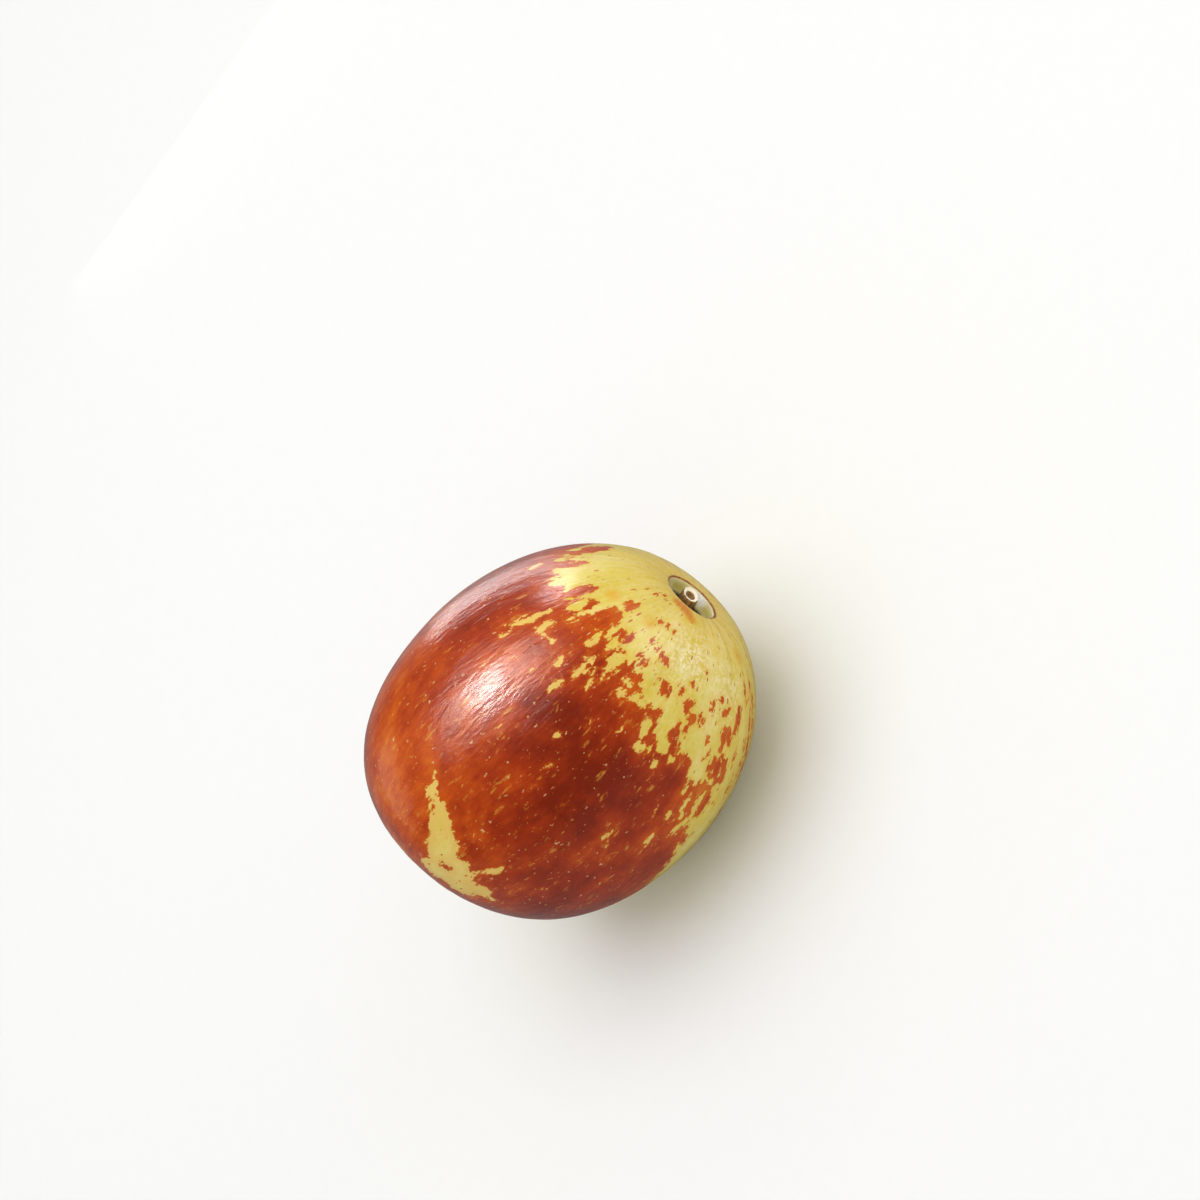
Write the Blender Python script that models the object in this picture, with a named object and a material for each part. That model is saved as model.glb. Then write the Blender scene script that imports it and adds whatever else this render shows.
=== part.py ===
"""A fresh jujube lying on its side: the fruit, and the stub of its stalk in the stem cavity.

Metres, +Z up. The long axis lies along X, with the stem end at +X. The origin is on the surface that
the fruit rests on, under the middle of the whole fruit's box.
"""

import math

import bmesh
import bpy
import numpy as np

MM = 0.001

# The body: a rounded form about its long axis, blunter and flattened at the blossom end
HALF_LENGTH = 20.26 * MM
HALF_WIDTH = 17.34 * MM
STEM_BLUNTNESS = 0.047
BLOSSOM_BLUNTNESS = 0.158
WIDEST_SHIFT = 0.030
BLOSSOM_FLATTENING = 1.2 * MM
BLOSSOM_FLAT_WIDTH = 8.0 * MM

# What keeps it from being perfectly round: three low lobes, a slant of the middle line and some swellings
LOBE_COUNT = 3
LOBE_HEIGHT = 0.0115
LOBE_TURN = math.radians(106.9)
SLANT = 0.050
SLANT_TURN = math.radians(226.9)
# Each swelling: angle from the stem end, angle round the axis, reach (degrees) and height
SWELLINGS = (
    (157, 47, 24, 0.28 * MM),
    (62, 290, 34, 0.20 * MM),
    (108, 350, 30, -0.16 * MM),
    (74, 190, 30, -0.14 * MM),
    (105, 128, 36, 0.16 * MM),
)

# The stem cavity: a bowl with a tight round lip, in a shallow funnel
CAVITY_RADIUS = 2.75 * MM
CAVITY_DEPTH = 2.7 * MM
LIP_ROUNDING = 0.35 * MM
WALL_SHARE = 1 - (LIP_ROUNDING / CAVITY_DEPTH) * 2 / math.pi
FUNNEL_DEPTH = 1.1 * MM
FUNNEL_WIDTH = 4.5 * MM

# The scar of the flower's style at the blossom end: a nub in a ring-shaped dimple
SCAR_NUB_HEIGHT = 0.30 * MM
SCAR_NUB_WIDTH = 0.55 * MM
SCAR_DIMPLE_DEPTH = 0.32 * MM
SCAR_DIMPLE_WIDTH = 1.7 * MM
SCAR_REACH = 1.5 * SCAR_DIMPLE_WIDTH
SCAR_FADE = 8

# How deep the underside is flattened where the fruit rests
FLAT_SPOT_DEPTH = 0.35 * MM

# The stub of the stalk, cut off just past the lip
STALK_RADIUS = 0.92 * MM
STALK_FOOT_FLARE = 0.22
STALK_FLARE_REACH = 0.3
STALK_OVALITY = 0.06
STALK_PAST_LIP = 0.45 * MM
STALK_LEAN = math.tan(math.radians(4.0))
STALK_EDGE = 0.14 * MM
GAP = 0.3 * MM

# How finely the surfaces are divided
FRUIT_SIDES = 72
CAVITY_RINGS = 7
LIP_RINGS = 4
BODY_RINGS = 34
SCAR_RINGS = 6
STALK_SIDES = 20
STALK_RINGS = 6

# Plain finishes: a colour and a roughness each
SKIN_COLOUR = (0.27, 0.06, 0.02, 1.0)
SKIN_ROUGHNESS = 0.3
STALK_COLOUR = (0.34, 0.19, 0.05, 1.0)
STALK_ROUGHNESS = 0.7
SHARPEST_SMOOTH_EDGE = math.radians(40)


def body_profile(turn):
    """Distance along the axis and from it, for angles from 0 at the stem end to pi at the blossom end.

    An ellipse whose ends are made blunter, with its widest place moved towards the blossom end. The
    blossom end is pushed in by a bell curve, and the stem end sinks by another towards the cavity.
    """
    along = np.cos(turn)
    bluntness = np.where(along > 0, STEM_BLUNTNESS, BLOSSOM_BLUNTNESS)
    radius = HALF_WIDTH * np.sin(turn) * (1 + bluntness * along**2) * (1 - WIDEST_SHIFT * along)
    towards_blossom = (1 - along) / 2
    x = HALF_LENGTH * along
    x = x + BLOSSOM_FLATTENING * towards_blossom * np.exp(-((radius / BLOSSOM_FLAT_WIDTH) ** 2))
    x = x - FUNNEL_DEPTH * (1 - towards_blossom) * np.exp(-((radius / FUNNEL_WIDTH) ** 2))
    dimple = SCAR_DIMPLE_DEPTH * np.exp(-((radius / SCAR_DIMPLE_WIDTH) ** 2))
    nub = (SCAR_DIMPLE_DEPTH + SCAR_NUB_HEIGHT) * np.exp(-((radius / SCAR_NUB_WIDTH) ** 2))
    x = x + (dimple - nub) * towards_blossom**SCAR_FADE
    return x, radius


def turn_at_radius(radius):
    """The angle from the stem end at which the body is this far from its axis, found by halving."""
    low, high = 0.0, math.pi / 2
    for _ in range(50):
        middle = (low + high) / 2
        if body_profile(np.array(middle))[1] < radius:
            low = middle
        else:
            high = middle
    return (low + high) / 2


def lip_place():
    """Where the body would meet the cavity's wall if the lip were sharp, along the axis."""
    return float(body_profile(np.array(turn_at_radius(CAVITY_RADIUS)))[0])


def cavity_profile(part_way):
    """The bowl of the cavity: a quarter of an ellipse, from 0 on the axis to 1 at the lip."""
    angle = part_way * math.pi / 2
    return lip_place() - CAVITY_DEPTH * np.cos(angle), CAVITY_RADIUS * np.sin(angle)


def lip_profile(part_way):
    """The round lip: a curve with one control point at the sharp corner, from the wall to the skin."""
    wall = np.array(cavity_profile(WALL_SHARE))
    corner = np.array((lip_place(), CAVITY_RADIUS))
    skin = np.array(body_profile(np.array(turn_at_radius(CAVITY_RADIUS + LIP_ROUNDING))))
    t = part_way[:, None]
    points = wall * (1 - t) ** 2 + corner * 2 * t * (1 - t) + skin * t**2
    return points[:, 0], points[:, 1]


def fruit_profile():
    """The whole profile, from the middle of the cavity's floor to the middle of the blossom end."""
    cavity = cavity_profile(np.linspace(0, WALL_SHARE, CAVITY_RINGS + 1)[:-1])
    lip = lip_profile(np.linspace(0, 1, LIP_RINGS))
    first = turn_at_radius(CAVITY_RADIUS + LIP_ROUNDING)
    scar = math.pi - SCAR_REACH / HALF_WIDTH
    body = body_profile(np.linspace(first, scar, BODY_RINGS + 1)[1:])
    blossom = body_profile(np.linspace(scar, math.pi, SCAR_RINGS + 1)[1:])
    stretches = (cavity, lip, body, blossom)
    return tuple(np.concatenate([stretch[axis] for stretch in stretches]) for axis in (0, 1))


def swelling(along, across, turn_round):
    """Height of the swellings: a bell curve of the angle between a direction and each one's middle."""
    height = 0.0
    for from_stem, round_axis, reach, top in SWELLINGS:
        polar, around = math.radians(from_stem), math.radians(round_axis)
        closeness = along * math.cos(polar) + across * math.sin(polar) * np.cos(turn_round - around)
        height = height + top * np.exp((closeness - 1) / (1 - math.cos(math.radians(reach))))
    return height


def placed(x, radius, turn_round):
    """World places of points of the round profile, before the fruit is set down.

    The swellings push each point straight out from the middle. The radius swells into the lobes in
    proportion to its own square, so the ends stay round. The middle line then slants sideways in
    proportion to the distance along the axis.
    """
    length = np.hypot(x, radius)
    along, across = x / length, radius / length
    height = swelling(along, across, turn_round)
    x = x + height * along
    lobes = 1 + LOBE_HEIGHT * (radius / HALF_WIDTH) ** 2 * np.cos(LOBE_COUNT * (turn_round - LOBE_TURN))
    wide = radius * lobes + height * across
    y = wide * np.cos(turn_round) + SLANT * math.cos(SLANT_TURN) * x
    z = wide * np.sin(turn_round) + SLANT * math.sin(SLANT_TURN) * x
    return np.stack(np.broadcast_arrays(x, y, z), axis=-1)


def fruit_points():
    """The fruit's points before it is set down: a row for each ring, its first and last on the axis."""
    x, radius = fruit_profile()
    turn_round = np.arange(FRUIT_SIDES) * 2 * math.pi / FRUIT_SIDES
    return placed(x[:, None], radius[:, None], turn_round[None, :])


def stalk_line():
    """The foot of the stub on the axis, and its length up to just past the lip."""
    floor_x, _ = cavity_profile(np.array(0.0))
    foot = placed(floor_x + GAP, np.array(0.0), 0.0)
    return foot, lip_place() + STALK_PAST_LIP - (floor_x + GAP)


def set_down():
    """The move that puts the middle of the whole fruit's box over the origin and its flat spot at z = 0."""
    points = fruit_points().reshape(-1, 3)
    low, high = points.min(axis=0), points.max(axis=0)
    foot, length = stalk_line()
    middle_x = (low[0] + foot[0] + length) / 2
    return -np.array((middle_x, (low[1] + high[1]) / 2, low[2] + FLAT_SPOT_DEPTH))


def surface_of_rings(name, rings, start, end, colour, roughness):
    """One closed solid from rings of points, with a point on the axis at either end."""
    mesh = bpy.data.meshes.new(name)
    shape = bmesh.new()
    rows = [[shape.verts.new(point) for point in ring] for ring in rings]
    first, last = shape.verts.new(start), shape.verts.new(end)
    sides = len(rows[0])
    for side in range(sides):
        beside = (side + 1) % sides
        shape.faces.new((first, rows[0][beside], rows[0][side]))
        shape.faces.new((last, rows[-1][side], rows[-1][beside]))
        for row, following in zip(rows, rows[1:]):
            shape.faces.new((row[side], row[beside], following[beside], following[side]))
    bmesh.ops.recalc_face_normals(shape, faces=shape.faces)
    bmesh.ops.triangulate(shape, faces=shape.faces)
    shape.to_mesh(mesh)
    shape.free()
    mesh.shade_smooth()
    mesh.set_sharp_from_angle(angle=SHARPEST_SMOOTH_EDGE)
    mesh.materials.append(finish(name, colour, roughness))
    solid = bpy.data.objects.new(name, mesh)
    bpy.context.collection.objects.link(solid)
    return solid


def finish(name, colour, roughness):
    """A material with one colour and roughness."""
    material = bpy.data.materials.new(name)
    material.use_nodes = True
    shader = material.node_tree.nodes["Principled BSDF"]
    shader.inputs["Base Color"].default_value = colour
    shader.inputs["Roughness"].default_value = roughness
    shader.inputs["Metallic"].default_value = 0.0
    return material


def make_fruit():
    """The fruit, grown as one piece, flattened a little where it rests."""
    rings = fruit_points() + set_down()
    rings[..., 2] = np.maximum(rings[..., 2], 0.0)
    return surface_of_rings("fruit", rings[1:-1], rings[0, 0], rings[-1, 0], SKIN_COLOUR, SKIN_ROUGHNESS)


def make_stalk():
    """The stub of the stalk: a slightly oval rod, flared at its foot, leaning a little in the cavity."""
    foot, length = stalk_line()
    foot = foot + set_down()
    direction = np.array((1.0, -math.cos(SLANT_TURN) * STALK_LEAN, -math.sin(SLANT_TURN) * STALK_LEAN))
    along = np.append(np.linspace(0, length - STALK_EDGE, STALK_RINGS), length)
    radius = STALK_RADIUS * (1 + STALK_FOOT_FLARE * np.exp(-along / (STALK_FLARE_REACH * length)))
    radius[-1] -= STALK_EDGE
    angle = np.arange(STALK_SIDES) * 2 * math.pi / STALK_SIDES
    oval = 1 + STALK_OVALITY * np.cos(2 * angle)
    round_it = np.stack([np.zeros(STALK_SIDES), oval * np.cos(angle), oval * np.sin(angle)], axis=-1)
    middle = foot + direction * along[:, None]
    rings = middle[:, None, :] + radius[:, None, None] * round_it[None, :, :]
    return surface_of_rings("stalk", rings, middle[0], middle[-1], STALK_COLOUR, STALK_ROUGHNESS)


for leftover in list(bpy.data.objects):
    bpy.data.objects.remove(leftover, do_unlink=True)

make_fruit()
make_stalk()
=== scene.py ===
import functools
import math
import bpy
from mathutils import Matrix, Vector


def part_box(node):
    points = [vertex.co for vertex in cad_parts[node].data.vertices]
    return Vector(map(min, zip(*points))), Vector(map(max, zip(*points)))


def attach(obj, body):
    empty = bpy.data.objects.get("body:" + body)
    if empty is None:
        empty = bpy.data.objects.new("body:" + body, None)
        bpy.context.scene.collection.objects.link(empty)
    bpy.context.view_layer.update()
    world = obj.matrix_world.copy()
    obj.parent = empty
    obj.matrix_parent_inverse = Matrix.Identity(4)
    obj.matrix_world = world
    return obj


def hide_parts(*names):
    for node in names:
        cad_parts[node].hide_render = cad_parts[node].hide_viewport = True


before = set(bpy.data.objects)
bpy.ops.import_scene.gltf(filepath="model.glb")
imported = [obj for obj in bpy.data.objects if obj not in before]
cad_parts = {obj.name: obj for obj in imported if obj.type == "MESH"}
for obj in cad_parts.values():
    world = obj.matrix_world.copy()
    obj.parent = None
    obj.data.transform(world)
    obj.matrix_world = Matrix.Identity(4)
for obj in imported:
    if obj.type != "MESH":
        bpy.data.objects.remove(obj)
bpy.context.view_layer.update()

from types import SimpleNamespace

import bpy
import numpy as np
from bpy.props import FloatProperty, FloatVectorProperty, PointerProperty
from mathutils import Matrix, Vector

bl_info = {
    "name": "Fresh jujube",
    "version": (1, 0, 0),
    "blender": (4, 5, 0),
    "location": "3D View > Sidebar > Jujube",
    "description": "Builds a fresh jujube with its blushed skin and cut stalk, in a plain studio",
    "category": "Object",
}

MM = 0.001
FLOOR_REACH = 3.0
# How bright the floor and the sky look in the skin's gloss, as a share of what they are
MIRRORED_FLOOR = 0.3
MIRRORED_SKY = 0.05
AIM_OF_LIGHTS = (0, 0, 17 * MM)
WARM_WHITE = (1.0, 0.87, 0.72)

# The body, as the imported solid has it, in mm: rounded about its long axis, blunter at the blossom end
HALF_LENGTH = 20.26
HALF_WIDTH = 17.34
STEM_BLUNTNESS = 0.047
BLOSSOM_BLUNTNESS = 0.158
WIDEST_SHIFT = 0.030
BLOSSOM_FLATTENING = 1.2
BLOSSOM_FLAT_WIDTH = 8.0
LOBE_COUNT = 3
LOBE_HEIGHT = 0.0115
LOBE_TURN = math.radians(106.9)
SLANT = 0.050
SLANT_TURN = math.radians(226.9)
# Each swelling: angle from the stem end, angle round the axis, reach (degrees) and height (mm)
SWELLINGS = (
    (157, 47, 24, 0.28),
    (62, 290, 34, 0.20),
    (108, 350, 30, -0.16),
    (74, 190, 30, -0.14),
    (105, 128, 36, 0.16),
)
CAVITY_RADIUS = 2.75
CAVITY_DEPTH = 2.7
LIP_ROUNDING = 0.35
WALL_SHARE = 1 - (LIP_ROUNDING / CAVITY_DEPTH) * 2 / math.pi
FUNNEL_DEPTH = 1.1
FUNNEL_WIDTH = 4.5
SCAR_NUB_HEIGHT = 0.30
SCAR_NUB_WIDTH = 0.55
SCAR_DIMPLE_DEPTH = 0.32
SCAR_DIMPLE_WIDTH = 1.7
FLAT_SPOT_DEPTH = 0.35
FLAT_SPOT_ROUNDING = 0.05

# How finely the skin is divided: closest where the edge of the blush is seen
SKIN_SIDES = 440
CAVITY_ROWS = 16
LIP_ROWS = 10
BLUSH_EDGE_TURNS = (30, 75, 105)
BLUSH_EDGE_ROWS = (24, 104, 134)
BODY_ROWS = 180
SCAR_ROWS = 14
CLOSER_SIDES = 0.35
CLOSER_SIDES_MIDDLE = math.radians(137)

# The stub of the stalk (mm), which reaches the cavity's floor across the gap below its solid
STALK_GAP = 0.3
STALK_RADIUS = 0.92
STALK_FOOT_FLARE = 0.22
STALK_FLARE_REACH = 0.3
STALK_OVALITY = 0.06
STALK_LEAN = math.tan(math.radians(4.0))
STALK_EDGE = 0.14
STALK_RIDGES = 11
STALK_UNEVENNESS = 0.12
STALK_GRAIN_LENGTH = 0.5
PITH_RADIUS = 0.5
PITH_DEPTH = 0.35
PITH_EDGE = 0.05
CUT_SLANT = math.tan(math.radians(18.0))
CUT_TURN = math.radians(137.0)
STALK_SIDES = 96
STALK_ROWS = 40
STALK_EDGE_ROWS = 5
STALK_END_ROWS = 24

# The skin's low waves (mm), and how many times longer its patterns are along the fruit than across it
WAVE_LENGTH = 6
WAVE_WIDTH = 3
FINER_WAVES = 2.3
FINER_WAVE_SHARE = 0.4
GRAIN_STRETCH = 3.0
# The skin's usual distance (mm) from the axis where the blush has its edge
EDGE_RADIUS = 0.8 * HALF_WIDTH
# The random heights behind the noise start again after this many steps
NOISE_REPEAT = 32
# Depths (mm) that stand for no mark near, and for skin that never blushes
NO_MARK = -20.0
NO_BLUSH = -8.0
# The order in which rows of numbers give these nodes' inputs
RANGE = ("Value", "From Min", "From Max", "To Min", "To Max")
NOISE = ("Vector", "Scale", "Detail", "Roughness", "Distortion")

# Where the blush starts, as angles round the axis and angles from the stem end
BLUSH_STARTS = (
    (0, 50), (20, 40), (40, 40), (60, 46), (80, 47), (95, 46), (110, 43), (125, 42), (133, 45),
    (141, 45.5), (150, 50), (158, 53), (164, 62), (172, 60), (183, 59), (190, 74), (200, 80), (206, 88),
    (210, 100), (225, 122), (250, 142), (280, 135), (310, 105), (335, 70),
)
# Where it ends towards the blossom end
BLUSH_ENDS = (
    (0, 168), (20, 161), (38, 165), (60, 166), (76, 159), (92, 156), (105, 148), (118, 148), (126, 149),
    (150, 150), (160, 150), (172, 154), (190, 159), (205, 152), (222, 158), (250, 141), (265, 128),
    (282, 135), (300, 150), (318, 146), (340, 160),
)
# Marks laid over the blush. Each: angle from the stem end, angle round the axis, half its
# length and half its width (mm), and its slant from the way of the axis (degrees)
PALE_MARKS = (
    (58.5, 94, 2.2, 0.34, -10), (56, 100.5, 0.9, 0.35, -4), (67, 94, 0.5, 0.25, -13),
    (45, 98.5, 1.25, 0.6, 8), (47, 104, 1.15, 0.3, -6), (44.5, 124.5, 1.1, 0.5, -13),
    (48, 130.5, 1.3, 0.7, -5), (53, 131.5, 0.6, 0.2, 13), (54.5, 123.5, 1.4, 0.35, 7),
    (55.5, 128.5, 0.95, 0.2, 20), (59, 116.5, 0.7, 0.2, 27), (64.5, 122, 0.55, 0.2, 0),
    (57.5, 105.5, 0.8, 0.2, -80), (45.5, 113, 0.3, 0.25, -30), (47, 117.5, 0.8, 0.2, 12),
    (44.5, 79, 1.7, 0.8, 15), (52.5, 63, 0.65, 0.35, 23), (36, 59.5, 2.3, 0.8, 25),
    (62.5, 161, 0.9, 0.4, -74), (63.5, 167, 0.8, 0.22, 40), (50, 141, 0.6, 0.34, 73),
    (53, 141.5, 0.5, 0.3, -20), (57, 157, 1.0, 0.5, 5), (52, 148.5, 0.65, 0.4, 66),
    (81, 196, 0.8, 0.4, -24), (75, 198, 0.85, 0.4, 0), (85.5, 187, 1.0, 0.2, 0),
    (61.5, 174, 0.4, 0.2, 70), (70, 198, 1.15, 0.3, -4), (71, 191, 1.05, 0.3, 3),
    (76, 187.5, 0.85, 0.45, 2), (112.5, 120, 1.2, 0.75, 36), (118, 127, 2.4, 1.2, 31),
    (126, 134.5, 2.9, 1.7, 15), (130.5, 144, 2.4, 1.7, 13), (131, 156, 1.35, 0.85, -80),
    (108, 116.5, 0.85, 0.18, 46), (120.5, 152, 1.2, 0.2, -29), (137.5, 139, 1.6, 2.0, 0),
    (137, 151, 1.5, 1.6, 0), (133, 161, 1.1, 0.25, -78), (60, 201, 0.8, 0.2, 20),
    (62.5, 196, 0.6, 0.18, -10),
)
# Flecks, laid down in the same way, of which only broken strokes show
FLECKS = (
    (89.5, 171.5, 1.0, 0.4, -15), (92, 174, 0.8, 0.36, 25), (99, 171, 0.7, 0.2, -12),
    (88.5, 152, 0.7, 0.15, -18), (82, 140, 0.5, 0.2, -27), (74, 135, 0.5, 0.38, -39),
    (89, 140.5, 0.6, 0.15, -23), (96, 178, 0.8, 0.2, 10), (107, 160, 0.9, 0.2, -20),
    (113, 172, 1.0, 0.2, 0), (104, 186, 0.8, 0.25, -10), (78, 181, 0.9, 0.2, 15),
    (68, 112, 0.9, 0.2, -10), (74, 100, 1.0, 0.15, -5), (66, 140, 0.6, 0.2, 10), (63, 150, 0.8, 0.2, 0),
    (112, 138, 0.7, 0.2, 30), (98, 116, 0.8, 0.15, 15), (84, 120, 0.7, 0.15, 0),
    (122, 165, 1.0, 0.2, -10),
)
FLECKS_HELD_BACK = 0.25
RED_MARKS = (
    (31.5, 111, 0.7, 0.6, 2), (36.8, 147, 0.8, 0.4, 62), (34.5, 136, 0.4, 0.3, -19),
    (44.5, 154.5, 0.8, 0.5, 43), (45.5, 170, 0.85, 0.5, -8), (51, 169, 0.95, 0.18, 0),
    (48.5, 174, 0.6, 0.4, -39), (51.5, 173.5, 0.55, 0.2, 0), (47.5, 180, 0.6, 0.35, 0),
    (43.5, 183.5, 0.4, 0.25, -61), (41.5, 183, 0.3, 0.2, 18), (45, 205, 1.5, 0.45, -9),
    (50, 200.5, 0.9, 0.4, 8), (51.5, 196, 1.2, 0.4, 10), (42.5, 195, 0.8, 0.3, -55),
    (60, 196, 1.2, 0.7, 28), (60.5, 202, 1.8, 1.0, 30), (57.5, 171, 1.45, 0.7, 21),
    (60.5, 162, 0.85, 0.55, -66), (42, 139, 0.7, 0.45, 14), (42, 123, 1.4, 0.6, -34),
    (40, 112, 1.5, 1.2, 25), (42, 101, 0.75, 0.5, 7), (42.5, 92, 1.6, 0.65, 2), (41.5, 67, 1.45, 1.0, 0),
    (37, 49.5, 2.4, 1.0, 41), (52, 157, 0.75, 0.4, -52), (70.5, 196, 2.3, 2.0, 50),
    (44.5, 224, 1.8, 0.2, 0), (53, 221, 1.2, 0.15, 4), (59, 219, 1.4, 0.2, 0), (36, 222, 0.8, 0.15, -5),
    (66, 214, 1.5, 0.25, 5), (62, 224, 2.0, 0.25, 0), (27.4, 131, 0.2, 0.12, 0),
    (26.5, 137, 0.3, 0.16, 40), (26.5, 142.5, 0.25, 0.15, 0), (20, 109.5, 0.15, 0.1, 0),
    (16.6, 111, 0.15, 0.1, 0), (29.3, 112.5, 0.3, 0.2, 0), (35.4, 141, 0.35, 0.25, 0),
    (30.3, 235, 0.5, 0.15, 0), (37.5, 213, 0.9, 0.15, 4), (46.4, 220, 1.0, 0.2, -4),
    (54.4, 218, 1.1, 0.2, 4), (64.3, 217, 1.2, 0.2, 0), (76.4, 222, 1.0, 0.15, 0),
    (39, 190, 0.3, 0.2, 10), (41.7, 184, 0.35, 0.25, 0), (33, 175, 0.25, 0.15, 0),
    (38.5, 168, 0.3, 0.2, 0), (42, 163, 0.35, 0.2, 30), (52, 186, 0.5, 0.25, 20), (56, 190, 0.4, 0.2, 0),
    (55, 209, 0.8, 0.2, -6), (70, 209, 0.9, 0.2, 5),
)
RED_MARKS_ON_TOP = (
    (115, 122, 0.5, 0.3, 29), (131.5, 139.5, 0.6, 0.45, -57), (80, 197, 0.5, 0.25, 20),
    (50.5, 128, 0.35, 0.2, 10), (60, 168, 0.5, 0.2, 30),
)
# Soft places that are more orange, or deeper where the amount is negative. Each: the two angles, its
# size (mm) and its amount
WARM_PLACES = (
    (106, 72, 7.0, 0.32), (76, 88, 5.0, 0.06), (98, 128, 4.0, 0.14), (84, 150, 6.0, -0.26),
    (66, 130, 4.5, -0.20), (70, 168, 4.5, -0.16), (58, 106, 3.0, 0.05), (120, 180, 7.0, -0.14),
    (130, 106, 5.0, 0.28), (117, 102, 4.0, 0.2), (60, 82, 4.0, -0.08), (100, 330, 7.0, 0.20),
    (120, 20, 8.0, -0.15),
)
# Soft stains on the green in the same way: golden, orange where the amount is above one, or paler
# where it is negative. The paler places are mottling, except the strongest, at 30 and 160 degrees,
# which is a painted highlight on the green
STAINS_AND_PAINTED_HIGHLIGHT = (
    (13, 138, 1.0, 2.2), (16.5, 152, 0.9, 1.6), (13.5, 124, 0.7, 1.2), (30, 128, 1.2, 1),
    (25, 214, 1.4, 1), (38, 222, 1.6, 1), (52, 226, 2.2, 1), (16, 300, 1.0, 1), (30, 20, 1.5, 1),
    (34, 100, 1.0, 1), (60, 245, 2.0, 1), (120, 262, 2.5, 1), (30, 160, 3.2, -1), (37, 195, 3.0, -0.6),
    (60, 262, 5, -0.7), (40, 330, 4, -0.7), (150, 250, 5, -0.6), (75, 310, 5, -0.5),
)
# The palest places on the cavity's wall, a painted highlight, laid in the same way, but with their depth
# below the lip (mm)
PAINTED_WALL_HIGHLIGHT = ((0.5, 316, 0.5, 0.8), (0.5, 302, 0.55, 0.9), (0.55, 288, 0.45, 0.7), (1.0, 20, 0.4, 0.5))


def linear(text):
    """An sRGB hex colour as linear red, green, blue and alpha."""
    parts = np.array([int(text[place:place + 2], 16) for place in (1, 3, 5)]) / 255
    low = parts / 12.92
    high = ((parts + 0.055) / 1.055) ** 2.4
    return (*np.where(parts <= 0.04045, low, high).tolist(), 1.0)


def body_profile(turn):
    """Distance along the axis and from it (mm), for angles from 0 at the stem to pi at the blossom end.

    An ellipse whose ends are made blunter, with its widest place moved towards the blossom end. The
    blossom end is pushed in by a bell curve, and the stem end sinks by another towards the cavity. A
    narrow bell stands up as a nub in the middle of a wider dimple where the flower's style was.
    """
    along = np.cos(turn)
    bluntness = np.where(along > 0, STEM_BLUNTNESS, BLOSSOM_BLUNTNESS)
    radius = HALF_WIDTH * np.sin(turn) * (1 + bluntness * along**2) * (1 - WIDEST_SHIFT * along)
    towards_blossom = (1 - along) / 2
    x = HALF_LENGTH * along
    x = x + BLOSSOM_FLATTENING * towards_blossom * np.exp(-((radius / BLOSSOM_FLAT_WIDTH) ** 2))
    x = x - FUNNEL_DEPTH * (1 - towards_blossom) * np.exp(-((radius / FUNNEL_WIDTH) ** 2))
    dimple = SCAR_DIMPLE_DEPTH * np.exp(-((radius / SCAR_DIMPLE_WIDTH) ** 2))
    nub = (SCAR_DIMPLE_DEPTH + SCAR_NUB_HEIGHT) * np.exp(-((radius / SCAR_NUB_WIDTH) ** 2))
    x = x + (dimple - nub) * towards_blossom**8
    return x, radius


def turn_at_radius(radius):
    """The angle from the stem end at which the body is this far from its axis, read off the profile."""
    turns = np.linspace(0, 1, 4000)
    return float(np.interp(radius, body_profile(turns)[1], turns))


def lip_place():
    """Where the body would meet the cavity's wall if the lip were sharp, along the axis."""
    return float(body_profile(np.array(turn_at_radius(CAVITY_RADIUS)))[0])


def cavity_profile(part_way):
    """The bowl of the cavity: a quarter of an ellipse, from 0 on the axis to 1 at the lip."""
    angle = part_way * math.pi / 2
    return lip_place() - CAVITY_DEPTH * np.cos(angle), CAVITY_RADIUS * np.sin(angle)


def lip_profile(part_way):
    """The round lip: a curve with one control point at the sharp corner, from the wall to the skin."""
    wall = np.array(cavity_profile(WALL_SHARE))
    corner = np.array((lip_place(), CAVITY_RADIUS))
    skin = np.array(body_profile(np.array(turn_at_radius(CAVITY_RADIUS + LIP_ROUNDING))))
    t = part_way[:, None]
    points = wall * (1 - t) ** 2 + corner * 2 * t * (1 - t) + skin * t**2
    return points[:, 0], points[:, 1]


def skin_rows():
    """The skin's rows from the cavity's floor to the blossom end: x, radius, turn and distance (mm).

    The distance is measured along the profile from the crest of the lip, and is negative in the
    cavity. The turn is the angle from the stem end, and holds the lip's own value in the cavity.
    """
    first = turn_at_radius(CAVITY_RADIUS + LIP_ROUNDING)
    scar = math.pi - SCAR_DIMPLE_WIDTH * 1.5 / HALF_WIDTH
    turns = (first, *np.radians(BLUSH_EDGE_TURNS), scar)
    body_turns = np.interp(np.arange(1, BODY_ROWS + 1), (0, *BLUSH_EDGE_ROWS, BODY_ROWS), turns)
    scar_turns = np.linspace(scar, math.pi, SCAR_ROWS + 1)[1:]
    turn = np.concatenate([np.full(CAVITY_ROWS + LIP_ROWS, first), body_turns, scar_turns])
    cavity = cavity_profile(np.linspace(0, WALL_SHARE, CAVITY_ROWS + 1)[:-1])
    lip = lip_profile(np.linspace(0, 1, LIP_ROWS))
    body = body_profile(turn[CAVITY_ROWS + LIP_ROWS:])
    x, radius = np.concatenate([cavity, lip, body], axis=1)
    distance = np.append(0, np.cumsum(np.hypot(np.diff(x), np.diff(radius))))
    crest = CAVITY_ROWS + LIP_ROWS // 2
    return x, radius, turn, distance - distance[crest]


def swelling(along, across, around):
    """Height of the swellings: a bell curve of the angle between a direction and each one's middle."""
    height = 0.0
    for from_stem, round_axis, reach, top in SWELLINGS:
        polar = math.radians(from_stem)
        sideways = across * np.cos(around - math.radians(round_axis))
        closeness = along * math.cos(polar) + sideways * math.sin(polar)
        height = height + top * np.exp((closeness - 1) / (1 - math.cos(math.radians(reach))))
    return height


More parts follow.
